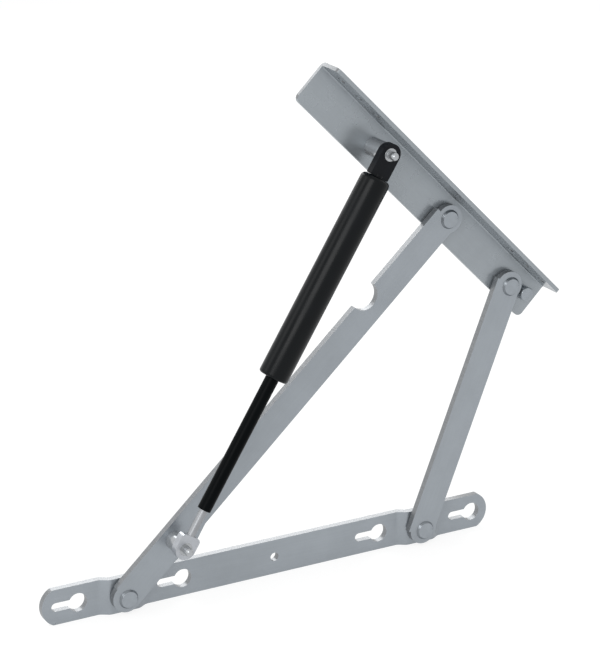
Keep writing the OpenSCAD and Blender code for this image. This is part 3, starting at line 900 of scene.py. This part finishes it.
# Studio floor
# A plain pale sheet that the mechanism stands on. It shows white where nothing shades it, and keeps
# the soft shadow under the bar.
floor_glow = 0.84
bpy.ops.object.select_all(action="DESELECT")
bpy.ops.mesh.primitive_plane_add(size=12, location=(0, 0, bar_low.z))
floor = bpy.context.object
floor.name = "studio_floor"
floor_material = bpy.data.materials.new("pale_floor")
floor_material.use_nodes = True
floor_nodes = floor_material.node_tree.nodes
floor_links = floor_material.node_tree.links
floor_shader = floor_nodes["Principled BSDF"]
floor_shader.inputs["Roughness"].default_value = 0.9
floor_shader.inputs["Specular IOR Level"].default_value = 0.0
floor_shader.inputs["Emission Color"].default_value = (1, 1, 1, 1)


def seen_share(nodes, links):
    """One for rays from the camera, from gloss and through glass, and zero for the rest."""
    path = nodes.new("ShaderNodeLightPath")
    total = path.outputs["Is Camera Ray"]
    for kind in ("Is Glossy Ray", "Is Transmission Ray"):
        either = nodes.new("ShaderNodeMath")
        either.operation = "MAXIMUM"
        links.new(total, either.inputs[0])
        links.new(path.outputs[kind], either.inputs[1])
        total = either.outputs["Value"]
    return total


def by_share(nodes, links, share, unseen, seen):
    """A grey that is one value where the share is zero, and another where it is one."""
    grey = nodes.new("ShaderNodeMix")
    grey.data_type = "RGBA"
    grey.inputs["A"].default_value = (unseen, unseen, unseen, 1)
    grey.inputs["B"].default_value = (seen, seen, seen, 1)
    links.new(share, grey.inputs["Factor"])
    return grey.outputs["Result"]


floor_seen = seen_share(floor_nodes, floor_links)
floor_grey = by_share(floor_nodes, floor_links, floor_seen, unseen=0.8, seen=0.22)
floor_links.new(floor_grey, floor_shader.inputs["Base Color"])
glow = floor_nodes.new("ShaderNodeMath")
glow.operation = "MULTIPLY"
glow.inputs[1].default_value = floor_glow
floor_links.new(floor_seen, glow.inputs[0])
floor_links.new(glow.outputs["Value"], floor_shader.inputs["Emission Strength"])
floor.data.materials.append(floor_material)

# Studio light
# White surroundings, a broad softbox behind the object for its upward edges, and two from the left
# that shape the black tube: the key in front, and a smaller one at the side.
scene = bpy.context.scene
world = bpy.data.worlds.new("studio")
scene.world = world
world.use_nodes = True
world_nodes = world.node_tree.nodes
world_links = world.node_tree.links
world_seen = seen_share(world_nodes, world_links)
world_grey = by_share(world_nodes, world_links, world_seen, unseen=0.62, seen=1.0)
world_links.new(world_grey, world_nodes["Background"].inputs["Color"])


def add_softbox(name, at, toward, width, height, power):
    """A broad lamp turned toward a point."""
    bpy.ops.object.select_all(action="DESELECT")
    bpy.ops.object.light_add(type="AREA", location=at)
    lamp = bpy.context.object
    lamp.name = name
    lamp.data.shape = "RECTANGLE"
    lamp.data.size = width
    lamp.data.size_y = height
    lamp.data.energy = power
    lamp.rotation_euler = (Vector(toward) - Vector(at)).to_track_quat("-Z", "Y").to_euler()


add_softbox("rear_softbox", (0.375, 1.4, 1.05), (0.1, 0.0, 0.15), width=1.65, height=0.9, power=16)
add_softbox("left_softbox", (-1.3, 0.4, 0.95), (0.0, 0.0, 0.15), width=0.6, height=0.9, power=2.5)
add_softbox("key_softbox", (-1.34, -1.16, 1.08), (0.0, 0.0, 0.2), width=1.1, height=1.1, power=14)

# Camera
# It stands to the left of the mechanism and looks a little down on it.
camera_azimuth = math.radians(-28.929)
camera_elevation = math.radians(19.644)
camera_roll = math.radians(0.17)
camera_distance = 1.71956
camera_target = Vector((0.0208, -0.00505, 0.17775))
frame_height_px = 648
focal_px = 2414.03
sensor_mm = 36
toward_camera = Vector((
    math.sin(camera_azimuth) * math.cos(camera_elevation),
    -math.cos(camera_azimuth) * math.cos(camera_elevation),
    math.sin(camera_elevation),
))
bpy.ops.object.camera_add(location=camera_target + camera_distance * toward_camera)
camera = bpy.context.object
level = (-toward_camera).to_track_quat("-Z", "Y")
camera.rotation_euler = (Quaternion(toward_camera, camera_roll) @ level).to_euler()
camera.data.sensor_fit = "VERTICAL"
camera.data.sensor_height = sensor_mm
camera.data.lens = sensor_mm * focal_px / frame_height_px
camera.data.clip_end = 50
scene.camera = camera
scene.view_settings.view_transform = "Standard"
